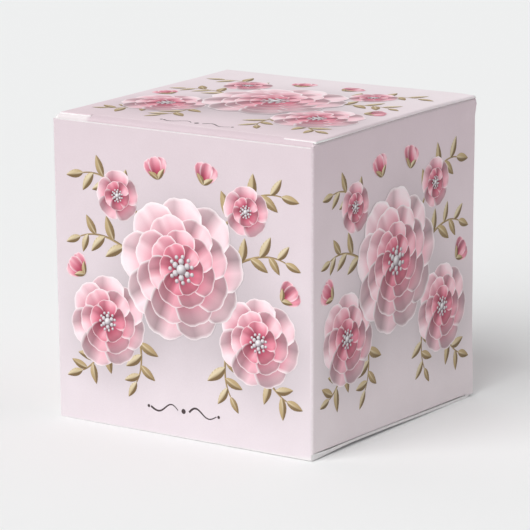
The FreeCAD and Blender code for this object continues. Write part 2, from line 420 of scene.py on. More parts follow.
# Ink
PINK_HIGH = colour(221, 206, 212)
PINK_LOW = colour(231, 221, 226)
# The side walls' pinks pale more from top to foot than the front's: painted shade towards the top and
# painted light towards the foot, over the print's own paling.
SIDE_INK_AND_SHADE_HIGH = colour(224, 206, 213)
SIDE_INK_AND_LIGHT_LOW = colour(241, 231, 234)
LID_NEAR = colour(233, 213, 220)
LID_FAR = colour(242, 232, 236)
# The tuck crease's two pinks are the lid's pink with painted shade: darker where the crease turns towards
# the light, so that it renders no brighter than the lid.
FOLD_SHADE_PINK = colour(217, 199, 206)
FOLD_SHADE_PALE = colour(223, 205, 212)
SIDE_SHADE_WIDTHS = HALF - 0.3, HALF - 0.1
LID_SKEW = 0.2
FOLD_SHADE_SHARES = 0.0, 0.28
FOLD_PALES = 0.45, 0.6
FOLD_BORDER = 3.1, 3.3
EAR_WHITE = 0.6
DUST_WHITE = 0.8, 1.0
CORNER_WEAR = 0.22
END_WEAR = 0.15
DUST_WEAR = 0.2


def wall_ink(points):
    """Pink that pales from the top of a wall to its foot, as printed. On the side walls it pales more, and
    this extra is painted shade towards the top and painted light towards the foot.
    """
    aside = smooth(np.abs(points[..., 0]), *SIDE_SHADE_WIDTHS)
    high, low = mix(PINK_HIGH, SIDE_INK_AND_SHADE_HIGH, aside), mix(PINK_LOW, SIDE_INK_AND_LIGHT_LOW, aside)
    return high + (low - high) * (1 - np.clip(points[..., 2:] / HEIGHT, 0, 1))


def lid_ink(points):
    """Pink that pales from the lid's front left corner to its back right one."""
    share = 0.5 + (points[..., 0] * LID_SKEW + points[..., 1]) / ((1 + LID_SKEW) * WIDTH)
    return mix(LID_NEAR, LID_FAR, np.clip(share, 0, 1))


def plain_ink(points):
    """Bare white coating."""
    return np.broadcast_to(PAPER_WHITE, points.shape)


def ridge_wear(share):
    """Wear across a crease, by the share of its turn: the fourth power of a sine, most on the ridge."""
    return np.sin(np.pi * share) ** 4


# Meshes
def new_piece(name, points, quads, display_ink, wear, materials, kinds):
    """Mesh object at the origin, from points in millimetres, with its ink and wear stored at the
    points."""
    mesh = bpy.data.meshes.new(name)
    mesh.from_pydata((points * MM).tolist(), [], quads.tolist())
    ink = np.ones((len(points), 4), np.float32)
    ink[:, :3] = linear(display_ink)
    mesh.attributes.new("ink", "FLOAT_COLOR", "POINT").data.foreach_set("color", ink.ravel())
    worn = np.broadcast_to(np.asarray(wear, np.float32), len(points))
    mesh.attributes.new("wear", "FLOAT", "POINT").data.foreach_set("value", worn.copy())
    for material in materials:
        mesh.materials.append(material)
    mesh.polygons.foreach_set("material_index", np.asarray(kinds, np.int32))
    mesh.polygons.foreach_set("use_smooth", np.ones(len(quads), bool))
    mesh.set_sharp_from_angle(angle=SHARP_ANGLE)
    mesh.update()
    piece = bpy.data.objects.new(name, mesh)
    bpy.context.scene.collection.objects.link(piece)
    return piece


def grid_quads(rows, columns):
    """Quads of a grid of points numbered row by row."""
    index = np.arange(rows * columns).reshape(rows, columns)
    quads = [index[:-1, :-1], index[1:, :-1], index[1:, 1:], index[:-1, 1:]]
    return np.stack(quads, axis=-1).reshape(-1, 4), index


def board_piece(name, node, outer, inner, ink, slot, wear=0.0, rim_finish=EDGE):
    """Closed piece of board between two grids of points, the printed face and the white one, with a cut
    edge of quads from each point of the border to its partner."""
    rows, columns = outer.shape[:2]
    count = rows * columns
    face, index = grid_quads(rows, columns)
    border = np.concatenate([index[:-1, 0], index[-1, :-1], index[:0:-1, -1], index[0, :0:-1]])
    following = np.roll(border, -1)
    rim = np.stack([following, border, border + count, following + count], axis=-1)
    quads = np.concatenate([face, face[:, ::-1] + count, rim])
    first = outer[1:, :-1] - outer[:-1, :-1]
    second = outer[:-1, 1:] - outer[:-1, :-1]
    if (np.cross(first, second) * (outer - inner)[:-1, :-1]).sum() < 0:
        quads = quads[:, ::-1]
    kinds = np.repeat([0, 1, 2], [len(face), len(face), len(rim)])
    points = np.concatenate([outer.reshape(-1, 3), inner.reshape(-1, 3)])
    inks = np.concatenate([ink.reshape(-1, 3)] * 2)
    worn = np.concatenate([np.broadcast_to(wear, (rows, columns)).ravel()] * 2)
    piece = new_piece(name, points, quads, inks, worn, (PRINTED, WHITE, rim_finish), kinds)
    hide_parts(node)
    return piece


def spread(*stops, pitch=1.0):
    """Places from the first stop to the last, through every stop, about pitch apart."""
    runs = [
        np.linspace(a, b, max(2, int(np.ceil((b - a) / pitch)) + 1))[:-1]
        for a, b in zip(stops[:-1], stops[1:])
    ]
    return np.concatenate([*runs, stops[-1:]])


def sheet_grid(columns, low, high, share):
    """Places across and up over a sheet whose column i runs from low[i] to high[i], in rows at given
    shares."""
    low = np.broadcast_to(low, columns.shape)
    high = np.maximum(np.broadcast_to(high, columns.shape), low + STEP)
    up = low[:, None] + (high - low)[:, None] * share
    return np.broadcast_to(columns[:, None], up.shape), up


def sheet(face, columns, low, high, share):
    """Outer and inner grids of a sheet of board, and the places of their points on its face."""
    across, up = sheet_grid(columns, low, high, share)
    return face.points(across, up, 0 * up), face.points(across, up, 0 * up - BOARD), across, up


def bent_strip(centre, axis, start, turn, inside, places, first=0.0, power=2, run=0.0):
    """Outer and inner grids of a bent strip of board, two arcs about the axis through centre, from
    first to turn degrees past the start direction, at places along the axis, and then straight on for
    run. A power above 2 makes the outer arc a squarer superellipse. The third array is the share of the
    turn."""
    first = np.broadcast_to(first, places.shape)[:, None]
    degrees = first + (turn - first) * np.linspace(0, 1, ARC_STEPS)
    angle = np.radians(degrees)[..., None]
    way = np.cos(angle) * start + np.sin(angle) * np.cross(axis, start)
    spine = np.asarray(centre) + places[:, None, None] * axis
    squared = (np.abs(np.cos(angle)) ** power + np.abs(np.sin(angle)) ** power) ** (-1 / power)
    outer, inner = spine + (inside + BOARD) * squared * way, spine + inside * way
    share = degrees / turn
    if run:
        onward = run * np.linspace(0, 1, RUN_STEPS)[1:, None] * np.cross(axis, way[:, -1:])
        outer = np.concatenate([outer, outer[:, -1:] + onward], axis=1)
        inner = np.concatenate([inner, inner[:, -1:] + onward], axis=1)
        share = np.concatenate([share, np.ones(onward.shape[:2])], axis=1)
    return outer, inner, share


def flap_end(root, tip, low, length, radius):
    """Columns and heights of a flap's outline at its far end: an arc of the corner's radius that
    touches the tip edge and the slanted side, then the side's root."""
    slope = (tip - root) / (length - low)
    stretch = np.hypot(1, slope)
    centre = root + (length - radius - low) * slope - radius * stretch
    angle = np.linspace(np.pi / 2, np.arctan2(-slope, 1), CORNER_STEPS)
    columns = np.append(centre + radius * np.cos(angle), root)
    return columns, np.append(length - radius + radius * np.sin(angle), low)


def flap_outline(near, far, low, length, radius, tips):
    """Columns and heights of a flap between two ends, near on the negative side and far on the positive
    one."""
    near_columns, near_high = flap_end(near, tips[0], low, length, radius)
    far_columns, far_high = flap_end(far, tips[1], low, length, radius)
    middle = spread(-near_columns[0], far_columns[0], pitch=FLAP_PITCH)[1:-1]
    columns = np.concatenate([-near_columns[::-1], middle, far_columns])
    return columns, np.concatenate([near_high[::-1], np.full(len(middle), length), far_high])


# Painted flowers
DEEP_ROSE = colour(182, 58, 88)
ROSE = colour(226, 120, 142)
PALE_ROSE = colour(251, 226, 232)
PETAL_RIM = colour(255, 248, 250)
LEAF_DARK = colour(122, 100, 70)
LEAF_GOLD = colour(190, 166, 124)
LEAF_LIGHT = colour(242, 231, 204)
PEARL_DARK = colour(140, 126, 132)
PEARL = colour(226, 220, 224)
FLOURISH = colour(74, 62, 64)
PAINTED_LIGHT = np.array([-0.55, 0.6, 0.58])
PAINTED_LIGHT = PAINTED_LIGHT / np.linalg.norm(PAINTED_LIGHT)
PAINTED_SHINE = (PAINTED_LIGHT + Z) / np.linalg.norm(PAINTED_LIGHT + Z)
LAYER = 0.007
PETAL_GLOSS = 26
PEARL_GLOSS = 14
TINY = 1e-12

# Shares of a petal's length or width, and of its light and inks
PETAL_WIDEST = 0.68
PETAL_DIP = 0.045
PETAL_BOW = 0.26
PETAL_LIFT = 0.34
PETAL_ROLL = 0.36
PETAL_CUP = 0.42
PETAL_GROOVE = 0.16
PETAL_PLEAT = 0.014
PETAL_DARK = 0.66
PETAL_LIGHT = 0.44
PETAL_SHADE = 0.42
COVER_REACH = 0.22
RIM_SIDES = 0.84, 0.99
RIM_STARTS = 0.2, 0.5
RIM_TIP = 0.93, 1.0
RIM_SHARE = 0.8
SHINE_SHARE = 0.55
SHINE_STARTS = 0.1, 0.4
RING_COVER = 0.55
INNER_COVER = 0.12
PETAL_TURNS = -0.05, 0.05
PETAL_SIZES = 0.95, 1.03
LEAF_TURNS = 0.7, 0.9
LEAF_SIZES = 0.92, 1.08
STALK_WIDE = 0.5


def lit(x, y, relief, turn):
    """Painted light on a relief over a patch: diffuse light and shine from its normals, turned with the
    patch."""
    points = np.stack([x, y, relief], axis=-1)
    normal = np.cross(np.gradient(points, axis=1), np.gradient(points, axis=0))
    normal /= np.linalg.norm(normal, axis=-1, keepdims=True) + TINY
    normal = normal @ turn.T
    return np.clip(normal @ PAINTED_LIGHT, 0, 1), np.clip(normal @ PAINTED_SHINE, 0, 1) ** PETAL_GLOSS


def direction(angle):
    """Rotation of a patch whose own up direction comes to point at angle on the panel."""
    sine, cosine = np.sin(angle), np.cos(angle)
    return np.array([[sine, cosine, 0], [-cosine, sine, 0], [0, 0, 1]])


class Print:
    """Ink film of a panel: thin painted patches, laid one over the other a few micrometres apart."""

    def __init__(self, face):
        self.face = face
        self.patches = []

    def patch(self, centre, angle, x, y, height, ink):
        """Adds a patch drawn about its own origin, turned to angle and moved to centre."""
        turn = direction(angle)
        across = centre[0] + x * turn[0, 0] + y * turn[0, 1]
        up = centre[1] + x * turn[1, 0] + y * turn[1, 1]
        self.patches.append((across, up, height + 0 * x, np.clip(ink, 0, 1)))

    def piece(self, name, body, leans):
        """All patches as one mesh."""
        points, inks, quads, count = [], [], [], 0
        for across, up, height, ink in self.patches:
            face = grid_quads(*across.shape)[0][:, ::-1]
            points.append(self.face.points(across, up, height).reshape(-1, 3))
            inks.append(ink.reshape(-1, 3))
            quads.append(face + count)
            count += across.size
        points = settled(np.concatenate(points), leans)
        quads = np.concatenate(quads)
        kinds = np.zeros(len(quads))
        piece = new_piece(name, points, quads, np.concatenate(inks), 0.0, (PRINTED,), kinds)
        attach(piece, body)

    def petal(self, centre, angle, root, length, width, layer, rose, cover, rows=22, columns=13):
        """Round petal. Its half width grows with the sine of the way from root to tip, its tip bows
        back towards the sides and dips in the middle. The relief is cupped, grooved and finely pleated."""
        way = 1 - (1 - np.linspace(0.03, 1, rows)[:, None]) ** 1.35
        side = np.sin(np.pi / 2 * np.linspace(-1, 1, columns))[None, :]
        phase = rng.uniform(0, 6.28)
        half = width / 2 * np.sin(np.pi / 2 * np.minimum(way / PETAL_WIDEST, 1)) ** 0.8
        x = half * side
        dip = PETAL_DIP * way**6 * np.exp(-((side / 0.3) ** 2))
        y = root + length * (way - PETAL_BOW * way**3 * np.abs(side) ** 2.3 - dip)
        roll = length * (PETAL_LIFT * way - PETAL_ROLL * way**2)
        cup = half * (PETAL_CUP * side**2 - PETAL_GROOVE * np.exp(-((side / 0.2) ** 2)))
        pleat = PETAL_PLEAT * width * np.sin(8 * side + phase + 2 * way) * np.sin(np.pi * way)
        diffuse, shine = lit(x, y, roll + cup + pleat, direction(angle))
        ink = mix(DEEP_ROSE, ROSE, smooth(way, 0.05, 0.5 + 0.3 * rose) + 0 * side)
        ink = mix(ink, PALE_ROSE, (1 - rose) * smooth(way, 0.3, 0.9) + 0 * side)
        ink = ink * (PETAL_DARK + PETAL_LIGHT * diffuse)[..., None]
        covered = 1 - smooth(way, cover, cover + COVER_REACH)
        ink = ink * (1 - PETAL_SHADE * covered + 0 * side)[..., None]
        edge = smooth(np.abs(side), *RIM_SIDES) * smooth(way, *RIM_STARTS)
        edge = np.maximum(edge, smooth(way, *RIM_TIP))
        ink = mix(ink, PETAL_RIM, RIM_SHARE * edge)
        ink = mix(ink, PETAL_RIM, SHINE_SHARE * shine * smooth(way, *SHINE_STARTS))
        self.patch(centre, angle, x, y, LAYER * (layer + 0.4 * side), ink)

    def rosette(self, centre, rings, layer, rows=22, columns=13):
        """Rings of overlapping petals, the outer one lowest. A ring is its count, and the length, width
        and depth of rose of its petals."""
        for number, (count, length, width, rose) in enumerate(rings):
            last = number + 1 == len(rings)
            cover = INNER_COVER if last else RING_COVER * rings[number + 1][1] / length
            start = np.pi / 2 + number * np.pi / count
            for step in range(count):
                angle = start + 2 * np.pi * step / count + rng.uniform(*PETAL_TURNS)
                size = rng.uniform(*PETAL_SIZES)
                self.petal(
                    centre, angle, 0.06 * length, 0.94 * length * size, width * size,
                    layer + number, rose, cover, rows, columns,
                )

    def leaf(self, base, angle, length, width, bend, layer):
        """Pointed leaf on a bent midrib. Its half width is a sine from base to tip, and its two halves
        tilt away from the midrib with slanting veins."""
        way = np.linspace(0, 1, 13)[:, None]
        side = np.linspace(-1, 1, 7)[None, :]
        half = width / 2 * (0.03 + np.sin(np.pi * way**0.85) ** 0.85)
        x = half * side + bend * length * way**2
        y = length * way + 0 * side
        vein = 0.05 * half * np.cos(2 * np.pi * (6 * way - 1.6 * np.abs(side)))
        relief = vein - 0.45 * half * np.abs(side) + 0.2 * length * (way - way**2)
        diffuse, shine = lit(x, y, relief, direction(angle))
        ink = mix(LEAF_DARK, LEAF_GOLD, smooth(diffuse, 0.25, 0.75))
        ink = mix(ink, LEAF_LIGHT, 0.7 * smooth(diffuse, 0.7, 1.0) + 0.3 * shine)
        ink = mix(ink, LEAF_LIGHT, 0.75 * np.exp(-((side / 0.12) ** 2)) * (1 - way))
        self.patch(base, angle, x, y, LAYER * layer, ink)

    def stem(self, path, width, layer, ink_dark, ink_light):
        """Ribbon along a path of points, tapered to its end and shaded across as a round stalk."""
        tangent = np.gradient(path, axis=0)
        tangent /= np.linalg.norm(tangent, axis=1, keepdims=True) + TINY
        aside = np.stack([tangent[:, 1], -tangent[:, 0]], axis=-1)
        side = np.linspace(-1, 1, 5)
        half = width / 2 * np.linspace(1, 0.45, len(path))
        x = path[:, :1] + aside[:, :1] * half[:, None] * side
        y = path[:, 1:] + aside[:, 1:] * half[:, None] * side
        light = np.clip(0.6 - 0.5 * side * np.sign(aside[:, :1]), 0, 1)
        self.patch((0, 0), np.pi / 2, x, y, LAYER * layer, mix(ink_dark, ink_light, light))

    def pearl(self, centre, radius, layer, steps):
        """Round pearl on a square grid drawn out to a disc, shaded as a ball with a bright spot."""
        a = np.sin(np.pi / 2 * np.linspace(-1, 1, steps))[None, :]
        b = a.T
        x = a * np.sqrt(1 - b**2 / 2)
        y = b * np.sqrt(1 - a**2 / 2)
        ball = np.stack([x, y, np.sqrt(np.clip(1 - x**2 - y**2, 0, 1))], axis=-1)
        ink = mix(PEARL_DARK, PEARL, smooth(ball @ PAINTED_LIGHT, -0.3, 0.8))
        ink = mix(ink, [1, 1, 1], np.clip(ball @ PAINTED_SHINE, 0, 1) ** PEARL_GLOSS)
        self.patch(centre, np.pi / 2, radius * x, radius * y, LAYER * layer, ink)

    def pearls(self, centre, radius, layer):
        """Cluster: a ring of small pearls, a ring of larger ones and one in the middle."""
        for count, far, size in ((11, 1.0, 0.17), (6, 0.62, 0.25)):
            for step in range(count):
                angle = 2 * np.pi * (step + 0.5) / count
                place = centre + far * radius * np.array([np.cos(angle), np.sin(angle)])
                self.pearl(place, size * radius, layer, 5)
        self.pearl(centre, 0.42 * radius, layer + 1, 9)

    def spray(self, start, through, end, leaves, size, layer):
        """Curved stalk, a quadratic curve from start to end that bends to a point between, with leaves
        on both sides in turn and one at the tip."""
        start, through, end = (np.asarray(point, float) for point in (start, through, end))
        way = np.linspace(0, 1, 17)[:, None]
        path = (1 - way) ** 2 * start + 2 * way * (1 - way) * through + way**2 * end
        self.stem(path, STALK_WIDE, layer, LEAF_DARK, LEAF_GOLD)
        for number in range(leaves):
            share = 0.2 + 0.8 * number / (leaves - 1)
            place = (1 - share) ** 2 * start + 2 * share * (1 - share) * through + share**2 * end
            run = 2 * (1 - share) * (through - start) + 2 * share * (end - through)
            hand = 0 if number == leaves - 1 else (-1) ** number
            angle = np.arctan2(run[1], run[0]) + hand * rng.uniform(*LEAF_TURNS)
            length = size * (1.1 - 0.35 * share) * rng.uniform(*LEAF_SIZES)
            self.leaf(place, angle, length, 0.4 * length, -0.14 * hand, layer + 1 + 0.2 * number)

    def bud(self, base, angle, size, layer):
        """Closed bud: three narrow petals and two small sepals."""
        base = np.asarray(base, float)
        for lean, layers in ((-0.42, 1), (0.42, 1.5), (0.0, 2.5)):
            self.petal(base, angle + lean, 0, size, 0.62 * size, layer + layers, 0.75, 0.05, 13, 9)
        for lean in (-0.6, 0.6):
            self.leaf(base, angle + lean, 0.55 * size, 0.24 * size, -0.2 * np.sign(lean), layer + 4)

    def flourish(self, middle, reach):
        """Small ornament: a dot between two tapering waves with a smaller dot at each end."""
        way = np.linspace(0, 1, 33)[:, None]
        for hand in (-1, 1):
            wave = 0.13 * reach * np.sin(2 * np.pi * way) * (1 - 0.5 * way)
            path = middle + np.concatenate([hand * reach * (0.16 + 0.78 * way), wave], axis=1)
            self.stem(path[::hand], 0.36, 1, FLOURISH, FLOURISH)
            end = middle + np.array([hand * reach, 0])
            self.dot(end, 0.26)
        self.dot(middle, 0.42)

    def dot(self, centre, radius):
        """Flat dot of the flourish's ink."""
        a = np.linspace(-1, 1, 7)[None, :]
        x = radius * a * np.sqrt(1 - a.T**2 / 2)
        y = radius * a.T * np.sqrt(1 - a**2 / 2)
        ink = np.broadcast_to(FLOURISH, (*x.shape, 3))
        self.patch(centre, np.pi / 2, x, y, 1.5 * LAYER, ink)


# Layout of the print in millimetres from the middle of a panel's foot, for the right hand. A spray is
# its start, a point that it bends to, its end, its count of leaves and their size. A bud is its place and
# the angle that it leans out.
ROSE_MIDDLE = np.array([0.0, 28.0])
SIDE_ROSE = np.array([15.0, 17.5])
SMALL_ROSE = np.array([12.6, 39.0])
MIDDLE_RINGS = [(9, 12.6, 8.6, 0.12), (8, 9.8, 7.4, 0.3), (7, 7.0, 6.0, 0.55), (6, 4.6, 4.4, 0.9)]
SIDE_RINGS = [(7, 8.0, 6.6, 0.2), (6, 5.8, 5.2, 0.45), (5, 3.7, 3.8, 0.85)]
SMALL_RINGS = [(5, 4.4, 4.6, 0.35), (5, 2.6, 2.8, 0.8)]
SPRAYS = [
    ((7, 34), (13, 43.5), (19.4, 42.2), 6, 4.6),
    ((9, 29), (15.5, 33.4), (20.2, 31.4), 6, 4.2),
    ((14, 15), (18, 9.5), (20.4, 8.6), 5, 4.2),
    ((9, 17), (7.5, 11), (9.4, 8.0), 5, 4.2),
]
BUDS = [((19.4, 25.0), 0.9), ((4.4, 42.6), 0.25)]
BUD_SIZE = 4.0
FLOURISH_PLACE = np.array([0.0, 4.4])
FLOURISH_REACH = 7.0
SOFT_SHADOWS = [(ROSE_MIDDLE, 12.5, 0.10), (SIDE_ROSE, 8.0, 0.08), (SIDE_ROSE * [-1, 1], 8.0, 0.08)]
SHADOW_SHIFT = 1.6, -1.8


def posy(face, flourish):
    """A round rosette between two smaller ones, small blossoms above, and sprays of leaves behind, the
    same on both hands."""
    design = Print(face)
    hands = np.array([-1, 1]), np.array([1, 1])
    for flip in hands:
        for start, through, end, leaves, size in SPRAYS:
            design.spray(start * flip, through * flip, end * flip, leaves, size, 1)
    for flip in hands:
        for place, lean in BUDS:
            design.bud(place * flip, np.pi / 2 - flip[0] * lean, BUD_SIZE, 3)
        design.rosette(SMALL_ROSE * flip, SMALL_RINGS, 4, 14, 9)
        design.pearls(SMALL_ROSE * flip, 1.0, 7)
        design.rosette(SIDE_ROSE * flip, SIDE_RINGS, 5, 18, 11)
        design.pearls(SIDE_ROSE * flip, 1.5, 9)
    design.rosette(ROSE_MIDDLE, MIDDLE_RINGS, 9)
    design.pearls(ROSE_MIDDLE, 2.2, 14)
    if flourish:
        design.flourish(FLOURISH_PLACE, FLOURISH_REACH)
    return design


def printed_shade(across, up):
    """Soft painted shadow beside the flowers: round clouds, a little below and to the right of each."""
    total = 0 * across
    for centre, reach, depth in SOFT_SHADOWS:
        aside, above = across - centre[0] - SHADOW_SHIFT[0], up - centre[1] - SHADOW_SHIFT[1]
        far = np.hypot(aside, above) / reach
        total = total + depth * np.exp(-(far**4) / 2)
    return (1 - total)[..., None]


# Walls
def build_walls():
    """The four walls, half bare of ink along the front's top and the back's foot, and the glue flap."""
    far = DUST_FAR + DUST_NOTCH
    plain = spread(-FLAT, FLAT, pitch=PITCH)
    back = spread(-FLAT, SEAM_X - CREASE_REACH, pitch=PITCH)

    def side_wall(start, step, hand):
        """Columns of a side wall, two close together at the step in its foot, and its ends. The foot is
        longer beyond the step, on the hand's side."""
        columns = spread(start, step - STEP / 2, step + STEP / 2, FLAT, pitch=PITCH)
        return columns, np.where(hand * (columns - step) > 0, FOOT_END, DUST_END), HEIGHT - DUST_END

    outlines = {
        "front": (FRONT, plain, HINGE_END, HEIGHT - TOP_END),
        "back": (BACK, back, FOOT_END, HEIGHT - HINGE_END),
        "right": (RIGHT, *side_wall(-FLAT, far, 1)),
        "left": (LEFT, *side_wall(SEAM_SHORT - HALF, -far, -1)),
    }
    rim = BARE_RIM / HEIGHT * np.array([1.0, 0.4, 0.0])
    rows = np.concatenate([rim[::-1], np.linspace(0.02, 0.98, WALL_ROWS), 1 - rim])
    for label, (face, columns, low, high) in outlines.items():
        outer, inner, across, up = sheet(face, columns, low, high, rows)
        ink = wall_ink(outer) * printed_shade(across, up)
        if label == "front":
            ink[:, -2:] += (PAPER_WHITE - ink[:, -2:]) / 2
        if label == "back":
            ink[:, :2] += (PAPER_WHITE - ink[:, :2]) / 2
        name = label + "_wall"
        hang = right_hang(outer) if label == "right" else 1.0
        outer, inner = settled(outer, hang=hang), settled(inner, hang=hang)
        piece = board_piece(name + "_board", name, outer, inner, ink, "printed_board")
        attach(piece, "tube")
    flap = Face((-(SEAM_X + BOARD / 2), 0, 0), -Y, Z)
    columns = spread(-FLAT, GLUE_WIDE - CREASE_REACH - FLAT)
    low = GLUE_END + np.tan(GLUE_TAPER) * (columns + FLAT)
    outer, inner = sheet(flap, columns, low, HEIGHT - low, np.linspace(0, 1, GLUE_ROWS))[:2]
    ink = plain_ink(outer)
    outer, inner = settled(outer), settled(inner)
    piece = board_piece("glue_flap_board", "glue_flap", outer, inner, ink, "white_board")
    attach(piece, "tube")


def build_corner_creases():
    """The upright creases, their ink cracked a little along the ridge. Over the last CREASE_CLIMB a
    crease's top climbs from the end of its first wall to that of its last one, by the share of the
    turn. Only the front left one shows a bare cut rim."""
    for label, x, y, start, first_end, last_end in (
        ("front_right", FLAT, -FLAT, -Y, TOP_END, DUST_TOP),
        ("back_right", FLAT, FLAT, X, DUST_TOP, HINGE_END),
        ("front_left", -FLAT, -FLAT, -X, DUST_END, TOP_END),
        ("seam", CREASE_REACH - SEAM_X, FLAT, Y, HINGE_END, HINGE_END),
    ):
        top = HEIGHT - first_end
        places = spread(FOOT_END, top)
        outer, inner, share = bent_strip((x, y, 0), Z, start, 90, CREASE, places)
        upper = smooth(places, top - CREASE_CLIMB, top)[:, None]
        climb = ((first_end - last_end) * upper * share)[..., None] * Z
        outer, inner = outer + climb, inner + climb
        slot = "white_board" if label == "seam" else "printed_board"
        ink = plain_ink(outer) if label == "seam" else wall_ink(outer)
        wear = CORNER_WEAR * ridge_wear(share)
        outer, inner = settled(outer), settled(inner)
        rim = EDGE if label == "front_left" else PRINTED
        piece = board_piece(label + "_crease", label + "_fold", outer, inner, ink, slot, wear, rim)
        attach(piece, "tube")


# Ends
def build_end(end):
    """Panel, tuck flap and dust flaps of one end with their creases. The panel's root beside the wall is a
    piece of its own. All are drawn as the lid's, and the base's are turned over."""
    lid = end == "lid"

    def place(points, leans=not lid, hang=1.0):
        """Points of this end where the settled box has them."""
        return settled(points if lid else turned_over(points), leans, hang)

    def at(*point):
        """One such point in metres."""
        return Vector(place(np.array(point, float))) * MM

    def paint(points):
        """Ink of this end's outside."""
        return lid_ink(points) if lid else np.broadcast_to(PINK_LOW, points.shape)

    # Panel
    steps = [TONGUE_INNER - STEP / 2, TONGUE_INNER + STEP / 2]
    rounded = PANEL_HALF - EDGE_ROUND * (1 - np.sin(EDGE_STEPS))
    columns = spread(*-rounded[::-1], -steps[1], -steps[0], *steps, *rounded, pitch=PITCH)
    tuck_start = TONGUE_GAP + TUCK_OUTSIDE
    low = np.where(np.abs(columns) > TONGUE_INNER, TONGUE_END, tuck_start)
    face = LID if lid else BASE
    rows = np.concatenate([
        TONGUE_ROUND / WIDTH * (1 - np.sin(TONGUE_STEPS)),
        np.linspace(0.01, ROOT_SHARE, PANEL_ROWS),
        np.linspace(ROOT_SHARE, 1, ROOT_STEPS + 1)[1:],
    ])
    outer, inner, across, up = sheet(face, columns, low, HALF + FLAT, rows)
    ink = paint(outer)
    if lid:
        ink = ink * printed_shade(across, up)
        aside = np.clip((np.abs(across) - rounded[0]) / EDGE_ROUND, 0, 1)
        ahead = np.clip((TONGUE_END + TONGUE_ROUND - up) / TONGUE_ROUND, 0, 1)
        drop = TONGUE_ROUND + (EDGE_DROP - TONGUE_ROUND) * smooth(up, TONGUE_END, EDGE_DROP_END)
        fall = drop * (np.sqrt(1 - aside**2) - 1) + TONGUE_ROUND * (np.sqrt(1 - ahead**2) - 1)
        outer = face.points(across, up, np.maximum(fall, -EDGE_DROP))
        pinch = TONGUE_PINCH * (1 - smooth(up, TONGUE_END, TONGUE_END + PINCH_REACH))
        pinch = pinch * (1 - smooth(np.abs(across), PANEL_HALF - PINCH_SIDE, PANEL_HALF))
        inner = face.points(across, up, pinch - BOARD)
        widen = smooth(up, WIDTH - HINGE_WIDEN, WIDTH - CREASE_OUTSIDE)
        widen = 1 + (HINGE_HALF / PANEL_HALF - 1) * widen
        outer[..., 0] *= widen
        inner[..., 0] *= widen
    outer, inner = place(outer), place(inner)
    if not lid:
        outer, inner = drooped(lifted(outer)), lifted(inner)
    root = ROOT_STEPS + 1
    flat = [grid[:, : 1 - root] for grid in (outer, inner, ink)]
    piece = board_piece(end + "_panel_board", end + "_panel", *flat, "printed_board")
    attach(piece, end)

    # Root of the panel and crease to the wall
    hinge_z = HEIGHT - CREASE_OUTSIDE
    root_y = FLAT - (1 - ROOT_SHARE) * (HALF + FLAT - tuck_start)
    hinge = {"start": at(0, FLAT + CREASE_REACH, hinge_z), "end": at(0, root_y, HEIGHT - BOARD / 2)}
    bent = [grid[:, -root:] for grid in (outer, inner, ink)]
    piece = board_piece(end + "_root_board", end + "_panel", *bent, "printed_board")
    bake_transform(piece)
    hinge_half = HINGE_HALF if lid else PANEL_HALF
    places = spread(-hinge_half, hinge_half)
    power = 2 if lid else FOOT_POWER
    outer, inner, share = bent_strip((0, FLAT, hinge_z), X, Y, 90, CREASE, places, power=power)
    wear = END_WEAR * ridge_wear(share)
    ink = paint(outer)
    outer, inner = place(outer), place(inner)
    if not lid:
        # Past the middle of its turn the crease droops to the floor, and there its ink pales to white:
        # painted light where the turn under the foot would be in shade.
        below = smooth(share, *DROOP_AND_PAINTED_LIGHT_TURN)
        outer, ink = drooped(outer, below), mix(ink, PAPER_WHITE, below)
    piece = board_piece(end + "_crease", end + "_fold", outer, inner, ink, "printed_board", wear)
    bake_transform(piece)

    # Tuck crease and flap
    bend_y, bend_z = TONGUE_GAP + TUCK_OUTSIDE - HALF, HEIGHT - TUCK_OUTSIDE
    slit = TONGUE_INNER - STEP
    left_ear, right_ear = LID_EARS if lid else BASE_EARS
    places = spread(-left_ear, -slit - STEP / 2, -slit, slit, slit + STEP / 2, right_ear)
    first = np.where(np.abs(places) > slit, EAR_START, 0.0)
    turn = 90 + np.degrees(TUCK_LEAN)
    outer, inner, share = bent_strip(
        (0, bend_y, bend_z), X, Z, turn, TUCK_INSIDE, places, first, run=TUCK_RUN
    )
    # Along its turn the crease's ink darkens and then pales a little: painted shade against the light that
    # the turn catches.
    ink = mix(paint(outer), FOLD_SHADE_PINK, smooth(share, *FOLD_SHADE_SHARES))
    ink = mix(ink, FOLD_SHADE_PALE, smooth(share, *FOLD_PALES))
    ink = mix(ink, PAPER_WHITE, EAR_WHITE * smooth(-outer[..., 0], slit, slit + 1))
    piece = board_piece(
        end + "_tuck_crease", end + "_tuck_fold", place(outer), place(inner), ink, "printed_board"
    )
    out = np.array([0, -np.cos(TUCK_LEAN), -np.sin(TUCK_LEAN)])
    along = np.cross(X, out)
    radius = TUCK_INSIDE + BOARD / 2
    at(0, bend_y, bend_z + radius)
    at(0, *(np.array([bend_y, bend_z]) + radius * out[1:] + TUCK_RUN * along[1:]))
    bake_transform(piece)
    face = Face(np.array([0, bend_y, bend_z]) + TUCK_OUTSIDE * out, -X, along)
    narrow = TUCK_WIDE - TUCK_LENGTH * np.tan(TUCK_TAPER)
    columns, high = flap_outline(
        TUCK_WIDE, TUCK_WIDE, TUCK_EAR, TUCK_LENGTH, TUCK_CORNER, (narrow, narrow)
    )
    steps = np.array([TUCK_HALF - STEP / 2, TUCK_HALF + STEP / 2])
    finer = np.sort(np.concatenate([columns, steps, -steps]))
    high = np.interp(finer, columns, high)
    low = np.where(np.abs(finer) > TUCK_HALF, TUCK_EAR, TUCK_RUN)
    outer, inner, _, up = sheet(face, finer, low, high, np.linspace(0, 1, FLAP_ROWS))
    # The flap's bleed is the crease's pink with painted shade, fading to white.
    ink = mix(FOLD_SHADE_PINK, PAPER_WHITE, smooth(up, *FOLD_BORDER))
    piece = board_piece(
        end + "_tuck_flap_board", end + "_tuck_flap", place(outer), place(inner), ink, "white_board"
    )
    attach(piece, end + "_tuck")

